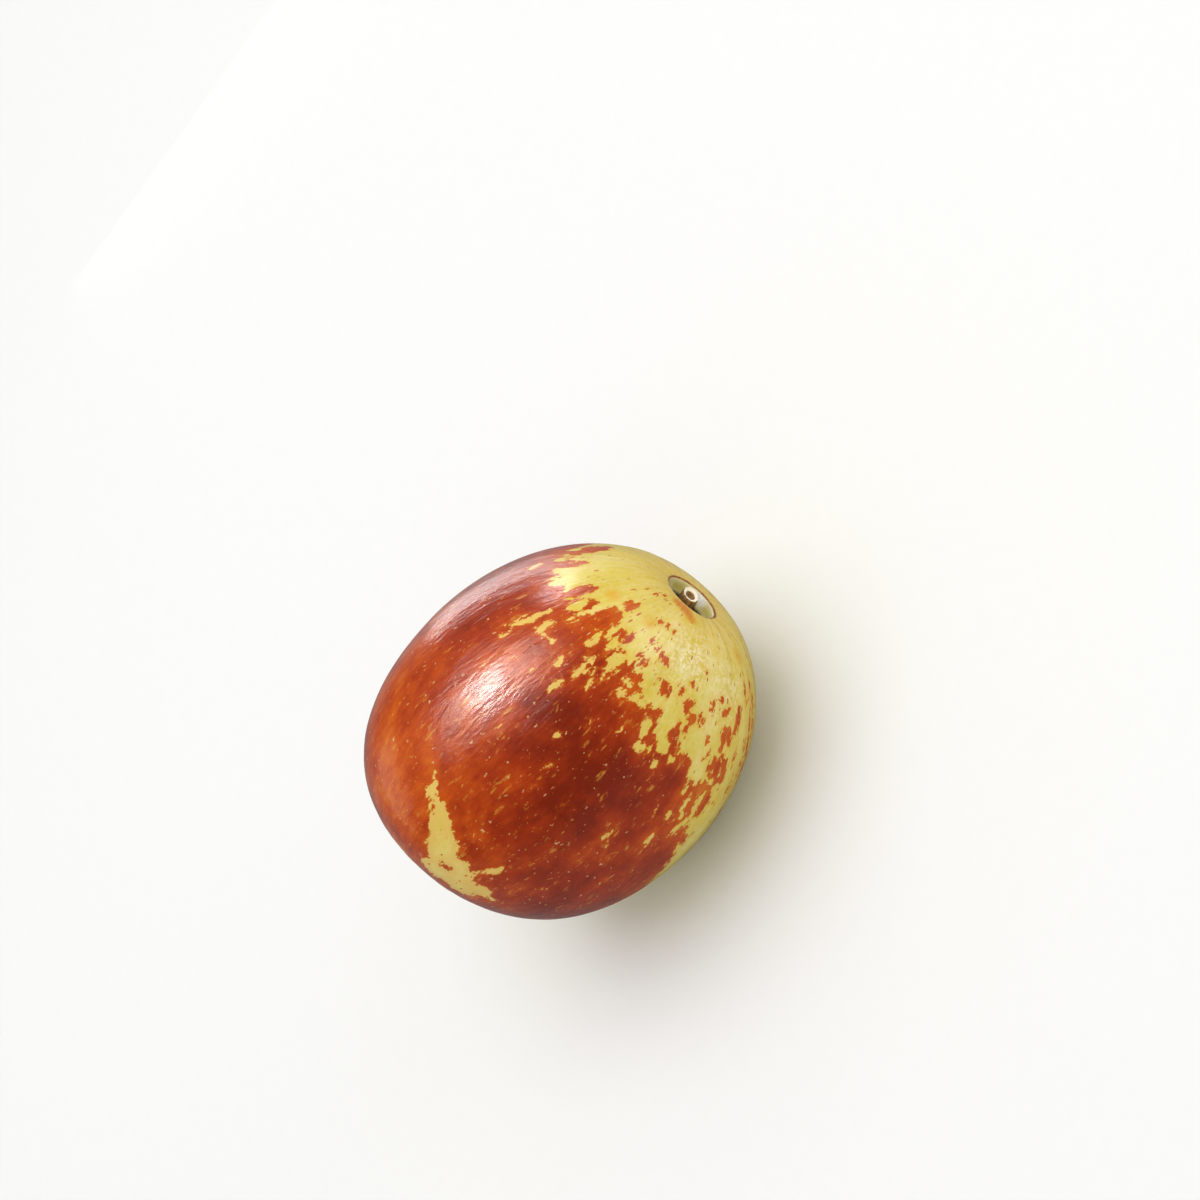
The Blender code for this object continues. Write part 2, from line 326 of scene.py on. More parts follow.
def placed(x, radius, around, extra=0.0):
    """Places (mm) of points of the round profile, with an extra height straight out from the middle.

    The swellings push each point out from the middle. The radius swells into the lobes in proportion
    to its own square, so the ends stay round. The middle line then slants sideways in proportion to
    the distance along the axis.
    """
    length = np.hypot(x, radius)
    along = x / length
    across = radius / length
    height = swelling(along, across, around) + extra
    x = x + height * along
    lobes = 1 + LOBE_HEIGHT * (radius / HALF_WIDTH) ** 2 * np.cos(LOBE_COUNT * (around - LOBE_TURN))
    wide = radius * lobes + height * across
    y = wide * np.cos(around) + SLANT * math.cos(SLANT_TURN) * x
    z = wide * np.sin(around) + SLANT * math.sin(SLANT_TURN) * x
    return np.stack(np.broadcast_arrays(x, y, z), axis=-1)


def lattice_noise(points, seed):
    """Smooth noise from 0 to 1: random heights at whole-number points of space, blended in between."""
    table = np.random.default_rng(seed).random((NOISE_REPEAT,) * 3)
    floor = np.floor(points).astype(int)
    part = points - floor
    part = part * part * (3 - 2 * part)
    total = 0.0
    for corner in np.ndindex(2, 2, 2):
        index = (floor + corner) % NOISE_REPEAT
        weight = np.prod(np.where(corner, part, 1 - part), axis=-1)
        total = total + weight * table[index[..., 0], index[..., 1], index[..., 2]]
    return total


def skin_waves(radius, around, distance, height):
    """Low waves of the skin (mm): noise and a finer noise, fading within 6 mm of the lip and the scar."""
    across = HALF_WIDTH / WAVE_WIDTH
    grain = (distance / WAVE_LENGTH, across * np.cos(around), across * np.sin(around))
    grain = np.stack(np.broadcast_arrays(*grain), axis=-1)
    finer = lattice_noise(grain * FINER_WAVES + 80, 4) - 0.5
    waves = lattice_noise(grain + 50, 3) - 0.5 + FINER_WAVE_SHARE * finer
    away_from_lip = np.clip((distance - 0.5) / 5, 0, 1)
    away_from_scar = np.clip(radius / 6, 0, 1)
    return height * waves * away_from_lip * away_from_scar * 2


def offsets(from_stem, round_axis, to_distance, distance, radius, around):
    """How far (mm) each point lies from a place on the skin: down the fruit, and round it."""
    turned = (around - math.radians(round_axis) + math.pi) % (2 * math.pi) - math.pi
    return distance - to_distance(from_stem), radius * turned


def mark_depth(marks, to_distance, *skin):
    """How deep (mm) each point lies in the deepest of these marks, negative outside them.

    Each mark is an ellipse on the skin. The span is the point's distance from its middle in units of
    the ellipse, and what the span falls short of one, divided by how fast it grows there, is the depth.
    """
    deepest = NO_MARK
    for from_stem, round_axis, half_length, half_width, slant in marks:
        down, sideways = offsets(from_stem, round_axis, to_distance, *skin)
        lean = math.radians(slant)
        along = down * math.cos(lean) + sideways * math.sin(lean)
        across = sideways * math.cos(lean) - down * math.sin(lean)
        span = np.hypot(along / half_length, across / half_width) + 1e-6
        growth = np.hypot(along / half_length**2, across / half_width**2) / span + 1e-6
        deepest = np.maximum(deepest, np.minimum((1 - span) / growth, half_width))
    return deepest


def soft_places(places, to_distance, *skin):
    """The sum of round bell curves on the skin, each with its size (mm) and amount."""
    total = 0.0
    for from_stem, round_axis, size, amount in places:
        down, sideways = offsets(from_stem, round_axis, to_distance, *skin)
        total = total + amount * np.exp(-(down**2 + sideways**2) / size**2)
    return total


def blush_shore(to_distance, distance, around):
    """Distance (mm) into the blush from its plain edge: the nearer of where it starts and where it ends.

    Each edge is a line through its own points. What lies past it down the fruit, divided by how
    steeply the line runs there, is the distance.
    """
    degrees = np.degrees(around)
    edges = []
    for side, limits in ((1, BLUSH_STARTS), (-1, BLUSH_ENDS)):
        at, turns = np.array(limits).T
        edge = to_distance(np.interp(degrees, at, turns, period=360))
        slope = np.gradient(edge.ravel(), around.ravel() * EDGE_RADIUS)
        edges.append(side * (distance - edge) / np.hypot(1, slope))
    return np.minimum(*edges)


def skin_maps(turn, radius, distance, around):
    """The attributes the skin's material reads, each worked out in mm on the skin."""
    first = CAVITY_ROWS + LIP_ROWS
    skin = (distance[:, None], radius[:, None], around[None, :])

    def to_distance(degrees):
        return np.interp(np.radians(degrees), turn[first:], distance[first:])

    reds, pales, flecks, reds_on_top = (
        mark_depth(marks, to_distance, *skin)
        for marks in (RED_MARKS, PALE_MARKS, FLECKS, RED_MARKS_ON_TOP)
    )
    shore = blush_shore(to_distance, skin[0], skin[2])
    blush = np.minimum(np.maximum(shore, reds), -pales)
    blush = np.maximum(np.minimum(blush, FLECKS_HELD_BACK - flecks), reds_on_top)
    return {
        "blush": np.where(skin[0] >= distance[first], blush, NO_BLUSH),
        "shore": shore,
        "rim": np.broadcast_to(skin[0], blush.shape),
        "warmth": soft_places(WARM_PLACES, to_distance, *skin),
        "stain": soft_places(STAINS_AND_PAINTED_HIGHLIGHT, to_distance, *skin),
        "pale_wall": soft_places(PAINTED_WALL_HIGHLIGHT, np.negative, *skin),
    }


def ring_mesh(name, rings):
    """A closed mesh from rings of points, rows x sides, whose first and last rows are single points."""
    rows, sides = rings.shape[:2]
    inner = rings[1:-1].reshape(-1, 3)
    points = np.concatenate([rings[:1, 0], inner, rings[-1:, 0]])
    row = np.arange(rows - 3)[:, None] * sides + 1
    side = np.arange(sides)
    beside = (side + 1) % sides
    quads = np.stack([row + side, row + sides + side, row + sides + beside, row + beside], axis=-1)
    last_row = (rows - 3) * sides + 1
    start_fan = np.stack([np.zeros(sides, int), 1 + side, 1 + beside], axis=-1)
    end_fan = np.stack([np.full(sides, len(points) - 1), last_row + beside, last_row + side], axis=-1)
    faces = start_fan.tolist() + quads.reshape(-1, 4).tolist() + end_fan.tolist()
    mesh = bpy.data.meshes.new(name)
    mesh.from_pydata(points.tolist(), [], faces)
    mesh.shade_smooth()
    return mesh


def store(mesh, name, grid):
    """Keeps a number or a vector for each point of a ring mesh as an attribute its material can read."""
    flat = np.concatenate([grid[:1, 0], grid[1:-1].reshape(-1, *grid.shape[2:]), grid[-1:, 0]])
    kind, field = ("FLOAT_VECTOR", "vector") if grid.ndim == 3 else ("FLOAT", "value")
    attribute = mesh.attributes.new(name, kind, "POINT")
    attribute.data.foreach_set(field, flat.astype(np.float32).ravel())


def fitted(points, low, high):
    """Points stretched along each axis so that their box is exactly the box given."""
    own_low = points.min(axis=(0, 1))
    own_high = points.max(axis=(0, 1))
    return low + (points - own_low) * (high - low) / (own_high - own_low)


def show(mesh, node, material):
    """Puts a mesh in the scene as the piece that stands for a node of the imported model."""
    mesh.materials.append(material)
    piece = bpy.data.objects.new(mesh.name, mesh)
    bpy.context.scene.collection.objects.link(piece)
    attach(piece, "root")
    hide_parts(node)


def fill_inputs(node, inputs):
    """Gives a node its inputs: a value, a link, or another node, which is linked from its first output."""
    for name, value in inputs.items():
        if isinstance(value, bpy.types.Node):
            value = value.outputs[0]
        if isinstance(value, bpy.types.NodeSocket):
            node.id_data.links.new(value, node.inputs[name])
        else:
            node.inputs[name].default_value = value


def add_node(tree, kind, inputs=None, stops=None, **settings):
    """Adds a node to a material, with its settings, its inputs and its ramp's colours."""
    node = tree.nodes.new("ShaderNode" + kind)
    for name, value in settings.items():
        setattr(node, name, value)
    fill_inputs(node, inputs or {})
    if stops:
        elements = node.color_ramp.elements
        elements.remove(elements[-1])
        elements[0].position, elements[0].color = stops[0]
        for place, colour in stops[1:]:
            elements.new(place).color = colour
    return node


def new_material(name):
    """An empty node material with its output and its shader."""
    material = bpy.data.materials.new(name)
    material.use_nodes = True
    tree = material.node_tree
    tree.nodes.clear()
    shader = add_node(tree, "BsdfPrincipled")
    add_node(tree, "OutputMaterial", {"Surface": shader})
    return material, functools.partial(add_node, tree), shader


def add_rows(add, kind, names, **rows):
    """Adds one node for each named row, which gives the node's inputs in the order of their names."""
    return SimpleNamespace(**{name: add(kind, dict(zip(names, row))) for name, row in rows.items()})


def skin_patterns(add):
    """What the skin's finish is made of: the mesh's attributes, noises and cells, all of real sizes.

    Noise on the grain is three times longer along the fruit than across it.
    """
    place = add("TexCoord").outputs["Object"]
    grain = add("Attribute", attribute_name="grain").outputs["Vector"]
    in_mm = add("Mapping", {"Vector": place, "Scale": (1 / MM, 1 / MM, 1 / MM)})
    # For their width, lobes are about half as long as the grain, streaks three times, rays ten times
    at = add_rows(
        add, "Mapping", ("Vector", "Scale"),
        lobes=(grain, (1.8, 1, 1)), streaks=(grain, (0.3, 1, 1)), rays=(grain, (0.1, 1, 1)),
    )
    # Each noise: where it lies, one over its size across the fruit (mm), detail, roughness, distortion
    on = add_rows(
        add, "TexNoise", NOISE,
        ragged=(at.lobes, 1 / 1.0, 3, 0.55),
        crumbs=(in_mm, 1 / 0.5, 3, 0.5, 0.6),
        hairs=(grain, 1 / 0.25, 2, 0.5, 0.5),
        clouds=(grain, 1 / 4.0, 4, 0.6),
        rays=(at.rays, 1 / 1.6, 4, 0.6),
        net=(in_mm, 1 / 0.6, 4, 0.6, 1.0),
        streaks=(at.streaks, 1 / 1.2, 5, 0.62),
        blotches=(in_mm, 1 / 3.5, 5, 0.6),
        mottle=(grain, 1 / 0.7, 4, 0.65),
        dashes=(grain, 1 / 0.55, 3, 0.6),
        waves=(grain, 1 / 1.8, 3),
        ripples=(grain, 1 / 0.45, 3, 0.5, 0.8),
    )
    for name in ("blush", "shore", "rim", "warmth", "stain", "pale_wall"):
        setattr(on, name, add("Attribute", attribute_name=name).outputs["Fac"])
    # Cells of these widths (mm), each with a random colour, and most with outlines bent by the crumbs
    bent = add(
        "VectorMath", {0: on.crumbs.outputs["Color"], 1: (0.7, 0.7, 0.7), 2: at.lobes},
        operation="MULTIPLY_ADD",
    )
    for name, where, width in (
        ("chip", bent, 0.6), ("speck", at.lobes, 0.8), ("dot", bent, 0.45), ("pore", bent, 0.7),
    ):
        cells = add("TexVoronoi", {"Vector": where, "Scale": 1 / width})
        random = add("SeparateColor", {"Color": cells.outputs["Color"]})
        setattr(on, name, cells)
        setattr(on, name + "_random", random)
    return on


def blush_edge(add, on, look):
    """Depth (mm) inside the red: the blush attribute with all the noises of its ragged edge added.

    The lobes reach furthest, and least far inland. Crumbs, chips with corners and hairs are finer.
    """
    from_shore = add("Math", {0: on.shore}, operation="ABSOLUTE")
    furthest = look.raggedness / MM
    wander = add("MapRange", dict(zip(RANGE, (from_shore, 0, 3.5, furthest, furthest * 0.25))))
    edge = on.blush
    for noise, reach in ((on.ragged, wander), (on.crumbs, 0.8), (on.chip_random, 0.45), (on.hairs, 0.35)):
        off_middle = add("Math", {0: noise, 1: 0.5}, operation="SUBTRACT")
        edge = add("Math", {0: off_middle, 1: reach, 2: edge}, operation="MULTIPLY_ADD")
    return edge


def green_ground(add, on, look, edge):
    """The green skin, as layers over soft clouds.

    Pale rays round the stem and a net of paler flecks lie lowest. The net is stronger where the stains
    are negative, which is partly paler mottling and partly a painted highlight. Gold comes where the
    blush or the stem is near and in stains, which ripen to orange. Small islands inside the blush are
    tan, and specks up to half a millimetre wide lie on top, fewer away from the blush.
    """
    share = add_rows(
        add, "MapRange", RANGE,
        rays=(on.rays, 0.5, 0.72, 0, 0.55),
        near_stem=(on.rim, 3, 14, 1, 0),
        net=(on.net, 0.4, 0.75),
        # Where the stains are negative the net grows paler: partly mottling, partly a painted highlight
        paleness=(on.stain, 0, -1, 0.3, 1.6),
        near_blush=(edge, -1.2, 0, 0, 0.6),
        pit=(on.rim, 0.5, 9, 0.55, 0),
        clouds=(on.clouds, 0, 1, 0.4, 1),
        inland=(on.shore, 0.3, 2.5, 0, 0.75),
        smallness=(on.blush, -1.3, -0.5, 0.4, 1),
        fewer=(edge, -8, 0, 0.85, 0.2),
    )
    rays = add("Math", {0: share.rays, 1: share.near_stem}, operation="MULTIPLY")
    net = add("Math", {0: share.net, 1: share.paleness}, operation="MULTIPLY", use_clamp=True)
    near_blush = add("Math", {0: share.near_blush, 1: 1.6}, operation="POWER")
    pit = add("Math", {0: share.pit, 1: share.clouds}, operation="MULTIPLY")
    stains = add("Math", {0: on.rays, 1: on.stain}, operation="MULTIPLY")
    tan = add("Math", {0: share.inland, 1: share.smallness}, operation="MULTIPLY")
    size = add("Math", {0: on.speck_random, 1: share.fewer}, operation="SUBTRACT")
    size = add("Math", {0: size, 1: 0.3, 2: -0.05}, operation="MULTIPLY_ADD")
    size = add("Math", {0: on.crumbs, 1: 0.2, 2: size}, operation="MULTIPLY_ADD")
    size = add("Math", {0: size, 1: on.speck}, operation="SUBTRACT")
    late = add_rows(
        add, "MapRange", RANGE,
        golden=(stains, 0.12, 0.5, 0, 0.9),
        ripe=(stains, 0.5, 1, 0, 0.7),
        specks=(size, -0.02, 0.04, 0, 0.85),
    )
    gold = near_blush
    for other in (pit, late.golden):
        gold = add("Math", {0: gold, 1: other}, operation="MAXIMUM")
    stops = ((0.3, look.green[:]), (0.5, look.yellow_green[:]), (0.72, look.pale_green[:]))
    ground = add("ValToRGB", {"Fac": on.clouds}, stops)
    for amount, colour in (
        (rays, linear("#E8E4A6")), (net, look.cream[:]), (gold, look.gold[:]),
        (late.ripe, linear("#C8600C")), (tan, look.tan[:]), (late.specks, look.speck[:]),
    ):
        ground = add("MixRGB", {"Fac": amount, "Color1": ground, "Color2": colour})
    return ground


def red_blush(add, on, look, edge):
    """The blush: streaks, mottle and blotches add up to a tone between deep red and orange.

    It is deeper inland. Fine golden dashes show where it is thin, and its fringe, a third of a
    millimetre wide, is more orange.
    """
    thin = add("Math", {0: on.blotches, 1: 0.35, 2: on.dashes}, operation="MULTIPLY_ADD")
    share = add_rows(
        add, "MapRange", RANGE,
        inland=(edge, 0, 2.2, 0, -0.2),
        from_shore=(on.shore, -1, 3, 0, -0.15),
        dashes=(thin, 0.8, 0.9, 0, 0.75),
        fringe=(edge, -0.02, 0.35, 0.7, 0),
    )
    tone = on.warmth
    for noise, amount in (
        (on.streaks, 0.3), (on.mottle, 0.35), (on.blotches, 0.85), (share.inland, 1), (share.from_shore, 1),
    ):
        tone = add("Math", {0: noise, 1: amount, 2: tone}, operation="MULTIPLY_ADD")
    stops = (
        (0.15, look.deep_red[:]), (0.42, look.red[:]), (0.68, look.orange_red[:]), (0.95, look.orange[:]),
    )
    blush = add("ValToRGB", {"Fac": tone}, stops)
    for amount, colour in ((share.dashes, "#C8862E"), (share.fringe, "#BE5A06")):
        blush = add("MixRGB", {"Fac": amount, "Color1": blush, "Color2": linear(colour)})
    return blush


def dotted(add, on, look, skin):
    """The skin with faint golden dots, up to 0.2 mm wide, and cream pores about as wide over them.

    Each grows from the middle of its cell to a random size. Both hardly show on the green.
    """
    for cells, random, growth, start, blur, most, colour in (
        (on.dot, on.dot_random.outputs[1], 0.32, -0.12, 0.05, 0.6, linear("#D8944C")),
        (on.pore, on.pore_random, 0.155, 0, 0.03, 0.55, look.pore[:]),
    ):
        size = add("Math", {0: random, 1: growth, 2: start}, operation="MULTIPLY_ADD")
        size = add("Math", {0: size, 1: cells}, operation="SUBTRACT")
        amount = add("MapRange", dict(zip(RANGE, (size, -blur, blur, 0, most))))
        skin = add("MixRGB", {"Fac": amount, "Color1": skin, "Color2": colour})
    return skin


def with_cavity(add, on, look, skin):
    """The skin with its stem cavity: a thin brown line on the lip, pale olive walls with a painted
    highlight, and painted shade darkening them towards the floor.
    """
    from_crest = add("Math", {0: on.rim, 1: 0.06}, operation="SUBTRACT")
    from_crest = add("Math", {0: from_crest}, operation="ABSOLUTE")
    from_crest = add("Math", {0: on.crumbs, 1: 0.35, 2: from_crest}, operation="MULTIPLY_ADD")
    rough_rim = add("Math", {0: on.crumbs, 1: 0.5, 2: on.rim}, operation="MULTIPLY_ADD")
    share = add_rows(
        add, "MapRange", RANGE,
        line=(from_crest, 0.22, 0.4, 1, 0),
        height=(rough_rim, -3.35, 0.05),
        inside=(on.rim, -0.12, -0.02, 1, 0),
    )
    # Painted shade: the wall darkens to near black from about 1.2 mm below the lip down to the floor
    stops = ((0, "#241004"), (0.61, "#40240A"), (0.7, "#D2C47A"), (0.82, "#D2BE56"), (1, "#E8DC9C"))
    stops = tuple((place, linear(colour)) for place, colour in stops)
    wall = add("ValToRGB", {"Fac": share.height}, stops)
    # Painted highlight: near-white patches on the wall where a light would glint
    wall = add("MixRGB", {"Fac": on.pale_wall, "Color1": wall, "Color2": linear("#FFFCF2")})
    for amount, colour in ((share.line, look.lip[:]), (share.inside, wall)):
        skin = add("MixRGB", {"Fac": amount, "Color1": skin, "Color2": colour})
    return skin


def blushed_skin(look, length):
    """The fruit's own thin waxy cuticle over pale green skin that has blushed red from the sunny side.

    To the eye: a clear satin gloss broken by fine waves, a red-brown blush with a ragged crisp edge
    and an orange fringe, streaks along the fruit, specks on the green, and tiny cream pores.
    """
    material, add, shader = new_material("waxy_blushed_skin")
    on = skin_patterns(add)
    edge = blush_edge(add, on, look)
    crumbling = add("Math", {0: on.crumbs, 1: 0.9, 2: on.rim}, operation="MULTIPLY_ADD")
    # The red ends within 0.16 mm. The dry scar at the blossom end is about 2.4 mm wide and fades out
    red, scar = (
        add("MapRange", dict(zip(RANGE, row)), interpolation_type="SMOOTHSTEP")
        for row in ((edge, -0.08, 0.08), (crumbling, length - 1.3, length - 0.2))
    )
    skin = green_ground(add, on, look, edge)
    blush = red_blush(add, on, look, edge)
    skin = add("MixRGB", {"Fac": red, "Color1": skin, "Color2": blush})
    skin = with_cavity(add, on, look, dotted(add, on, look, skin))
    skin = add("MixRGB", {"Fac": scar, "Color1": skin, "Color2": linear("#5C3413")})

    # A satin gloss that varies with the clouds, duller on the scar, over waves, ripples and hairs
    rough = look.roughness
    dullness = add("MapRange", dict(zip(RANGE, (on.clouds, 0, 1, rough - 0.08, rough + 0.1))))
    dullness = add("Math", {0: scar, 1: 0.3, 2: dullness}, operation="MULTIPLY_ADD")
    bump = add("Bump", {"Height": on.waves, "Distance": 0.11 * MM})
    for noise, height in ((on.ripples, 0.032 * MM), (on.hairs, 0.014 * MM)):
        bump = add("Bump", {"Height": noise, "Distance": height, "Normal": bump})
    fill_inputs(shader, {"Base Color": skin, "Roughness": dullness, "Normal": bump, "Coat Normal": bump})
    fill_inputs(shader, {"IOR": 1.4, "Specular IOR Level": 0.1})
    fill_inputs(shader, {"Coat Weight": look.wax, "Coat Roughness": 0.18, "Coat IOR": 1.4})
    return material


def cut_stalk():
    """Dry bark round pale wood, cut off at a slant.

    To the eye: matt brown bark with fine ridges, darkened by painted shade towards its foot deep in the
    cavity, and a cream ring of wood round a brown sunken pith.
    """
    material, add, shader = new_material("dry_cut_stalk")
    place = add("TexCoord").outputs["Object"]
    in_mm = add("Mapping", {"Vector": place, "Scale": (1 / MM, 1 / MM, 1 / MM)})
    along = add("Mapping", {"Vector": place, "Scale": (0.25 / MM, 1 / MM, 1 / MM)})
    cut, rise = (add("Attribute", attribute_name=name).outputs["Fac"] for name in ("cut", "rise"))
    # Bark fibres 0.25 mm across and a millimetre long, and grit of 0.2 mm on the cut
    fibres = add("TexNoise", {"Vector": along, "Scale": 1 / 0.25, "Detail": 3})
    grit = add("TexNoise", {"Vector": in_mm, "Scale": 1 / 0.2, "Detail": 2})
    ring = add("Math", {0: grit, 1: 0.25, 2: cut}, operation="MULTIPLY_ADD")
    bark_stops = ((0.3, "#5A3610"), (0.5, "#8A5E22"), (0.7, "#B88A44"))
    wood_stops = ((0, "#7A4A16"), (0.5, "#A8722E"), (0.62, "#EAD9B0"), (0.95, "#F2E6C8"))
    bark, wood = (
        add("ValToRGB", {"Fac": noise}, tuple((at, linear(colour)) for at, colour in stops))
        for noise, stops in ((fibres, bark_stops), (ring, wood_stops))
    )
    on_cut = add("Math", {0: cut, 1: 1.08}, operation="LESS_THAN")
    # Painted shade: the bark darkens to near black towards its foot, down in the cavity
    painted_foot_shade = add("MapRange", dict(zip(RANGE, (rise, 1.8, 3, 0.92, 0))))
    colour = add("MixRGB", {"Fac": painted_foot_shade, "Color1": bark, "Color2": linear("#2A1404")})
    colour = add("MixRGB", {"Fac": on_cut, "Color1": colour, "Color2": wood})
    bump = add("Bump", {"Height": fibres, "Distance": 0.03 * MM})
    fill_inputs(shader, {"Base Color": colour, "Normal": bump, "Roughness": 0.7, "IOR": 1.5})
    return material


def pale_floor(colour):
    """Matt white card, faintly mottled by its own fibres 2 mm long.

    To the eye: a plain even ground. It is dimmer where the fruit's gloss mirrors it.
    """
    material, add, shader = new_material("matt_white_card")
    place = add("TexCoord").outputs["Object"]
    fibres = add("TexNoise", {"Vector": place, "Scale": 1 / (2 * MM), "Detail": 3})
    mirrored = add("LightPath").outputs["Is Glossy Ray"]
    share = add_rows(
        add, "MapRange", RANGE,
        paler=(fibres, 0, 1, 0.98, 1), dimmer=(mirrored, 0, 1, 1, MIRRORED_FLOOR),
    )
    card = colour[:]
    for other in (share.paler, share.dimmer):
        card = add("MixRGB", {"Fac": 1, "Color1": card, "Color2": other}, blend_type="MULTIPLY")
    fill_inputs(shader, {"Base Color": card, "Roughness": 0.9, "Specular IOR Level": 0.1})
    return material


def make_fruit_mesh(look):
    """The skin's mesh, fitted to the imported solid's box, with the attributes its material reads."""
    x, radius, turn, distance = skin_rows()
    even = np.arange(SKIN_SIDES) * 2 * math.pi / SKIN_SIDES
    around = even - CLOSER_SIDES * np.sin(even - CLOSER_SIDES_MIDDLE)
    waves = skin_waves(radius[:, None], around, distance[:, None], look.wave_height / MM)
    points = placed(x[:, None], radius[:, None], around, waves)
    low, high = (np.array(corner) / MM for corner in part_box("fruit"))
    points = fitted(points, low - (0, 0, FLAT_SPOT_DEPTH), high)
    height = points[..., 2] / FLAT_SPOT_ROUNDING
    points[..., 2] = FLAT_SPOT_ROUNDING * np.logaddexp(0, height)
    mesh = ring_mesh("fruit_skin", points * MM)
    for name, grid in skin_maps(turn, radius, distance, around).items():
        store(mesh, name, grid)
    grain = (distance[:, None] / GRAIN_STRETCH, HALF_WIDTH * np.cos(around), HALF_WIDTH * np.sin(around))
    store(mesh, "grain", np.stack(np.broadcast_arrays(*grain), axis=-1))
    return mesh, float(distance[-1])


def make_stalk_mesh(look):
    """The stub: a rod with low ridges, flared at its foot, with a rounded cut end and a sunken pith.

    Its side has a radius that dies away from the foot's flare, times an oval and a wave of ridges round
    it. The end goes in over a rounded edge to a ring of wood, and down into a bowl at its middle. The
    knife went through at a slant, so each line along it is shortened by its place across the cut.
    """
    low, high = (np.array(corner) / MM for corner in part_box("stalk"))
    length = high[0] - low[0] + STALK_GAP
    middle = (low + high) / 2
    side = np.linspace(0, length - STALK_EDGE, STALK_ROWS)
    bend = np.linspace(0, math.pi / 2, STALK_EDGE_ROWS + 1)[1:]
    inward = np.linspace(0, 1, STALK_END_ROWS)[1:]
    radius = STALK_RADIUS * (1 + STALK_FOOT_FLARE * np.exp(-side / (STALK_FLARE_REACH * length)))
    end_radius = radius[-1] - STALK_EDGE
    face_radius = end_radius * (1 - inward)
    sunk = PITH_DEPTH / (1 + np.exp((face_radius - PITH_RADIUS) / PITH_EDGE))
    along = np.concatenate([[0], side, length - STALK_EDGE * (1 - np.sin(bend)), length - sunk])
    across = np.concatenate([[0], radius, end_radius + STALK_EDGE * np.cos(bend), face_radius])
    around = np.arange(STALK_SIDES) * 2 * math.pi / STALK_SIDES
    ridge_share = look.ridge_height / (STALK_RADIUS * MM)
    ridges = 1 + STALK_OVALITY * np.cos(2 * around) + ridge_share * np.cos(STALK_RIDGES * around)
    grain = (along[:, None] / STALK_GRAIN_LENGTH, 2 * np.cos(around), 2 * np.sin(around))
    uneven = lattice_noise(np.stack(np.broadcast_arrays(*grain), axis=-1) + 9, 7)
    wide = across[:, None] * (ridges + STALK_UNEVENNESS * (uneven - 0.5))
    lean = (along / length - 0.5)[:, None] * STALK_LEAN * length
    shortened = 1 - CUT_SLANT * (wide * np.cos(around - CUT_TURN) + STALK_RADIUS) / length
    on_face = (across < end_radius) & (along > length / 2)
    rough = STALK_UNEVENNESS * uneven * on_face[:, None]
    x = low[0] - STALK_GAP + along[:, None] * np.minimum(shortened, 1) - rough
    y = middle[1] - math.cos(SLANT_TURN) * lean + wide * np.cos(around)
    z = middle[2] - math.sin(SLANT_TURN) * lean + wide * np.sin(around)
    points = np.stack(np.broadcast_arrays(x, y, z), axis=-1)
    points[0] = points[0].mean(axis=0)
    points[-1] = points[-1].mean(axis=0)
    mesh = ring_mesh("stalk_stub", points * MM)
    on_end = along >= length - STALK_EDGE
    cut = np.where(on_end, across / end_radius, 2.0)
    store(mesh, "cut", np.broadcast_to(cut[:, None], wide.shape))
    store(mesh, "rise", np.broadcast_to(along[:, None], wide.shape))
    return mesh


def colour_property(name, description, colour):
    """A colour that a user can change, with its default as an sRGB hex colour."""
    return FloatVectorProperty(
        name=name, description=description, default=linear(colour), size=4, subtype="COLOR", min=0, max=1
    )


class FruitLook(bpy.types.PropertyGroup):
    """Sizes and colours of the fruit's skin"""

    wave_height: FloatProperty(
        name="Wave height", description="Height of the skin's low waves",
        default=0.03 * MM, unit="LENGTH", precision=5,
    )
    raggedness: FloatProperty(
        name="Raggedness", description="How far the edge of the blush wanders",
        default=3.0 * MM, unit="LENGTH", precision=5,
    )
    roughness: FloatProperty(
        name="Roughness", description="Roughness of the skin under its wax",
        default=0.4, subtype="FACTOR", min=0, max=1,
    )
    wax: FloatProperty(
        name="Wax", description="How much clear gloss lies on the skin",
        default=0.7, subtype="FACTOR", min=0, max=1,
    )
    deep_red: colour_property("Deep red", "Deepest places of the blush", "#7A1F02")
    red: colour_property("Red", "Most of the blush", "#9A2E03")
    orange_red: colour_property("Orange red", "Warm streaks of the blush", "#BA4805")
    orange: colour_property("Orange", "Palest streaks of the blush", "#CE6810")
    green: colour_property("Green", "Deepest green of the skin", "#CCB53C")
    yellow_green: colour_property("Yellow green", "Most of the green skin", "#D6C150")
    pale_green: colour_property("Pale green", "Palest clouds of the green skin", "#E0D27E")
    # The net's colour, which also paints the highlight on the green where the net is strongest
    cream: colour_property("Cream", "Net of palest flecks on the green", "#EEE0B0")
    gold: colour_property("Gold", "Green skin near the blush, and stains", "#D8A428")
    tan: colour_property("Tan", "Islands of pale skin inside the blush", "#DAB45E")
    speck: colour_property("Specks", "Small spots on the green", "#B8580C")
    pore: colour_property("Pores", "Tiny pale pores", "#E8C890")
    lip: colour_property("Lip", "Thin line on the lip of the stem cavity", "#8A3E2A")


class StalkLook(bpy.types.PropertyGroup):
    """Sizes of the stub of the stalk"""

    ridge_height: FloatProperty(
        name="Ridge height", description="Height of the ridges of the bark",
        default=0.02 * MM, unit="LENGTH", precision=5,
    )


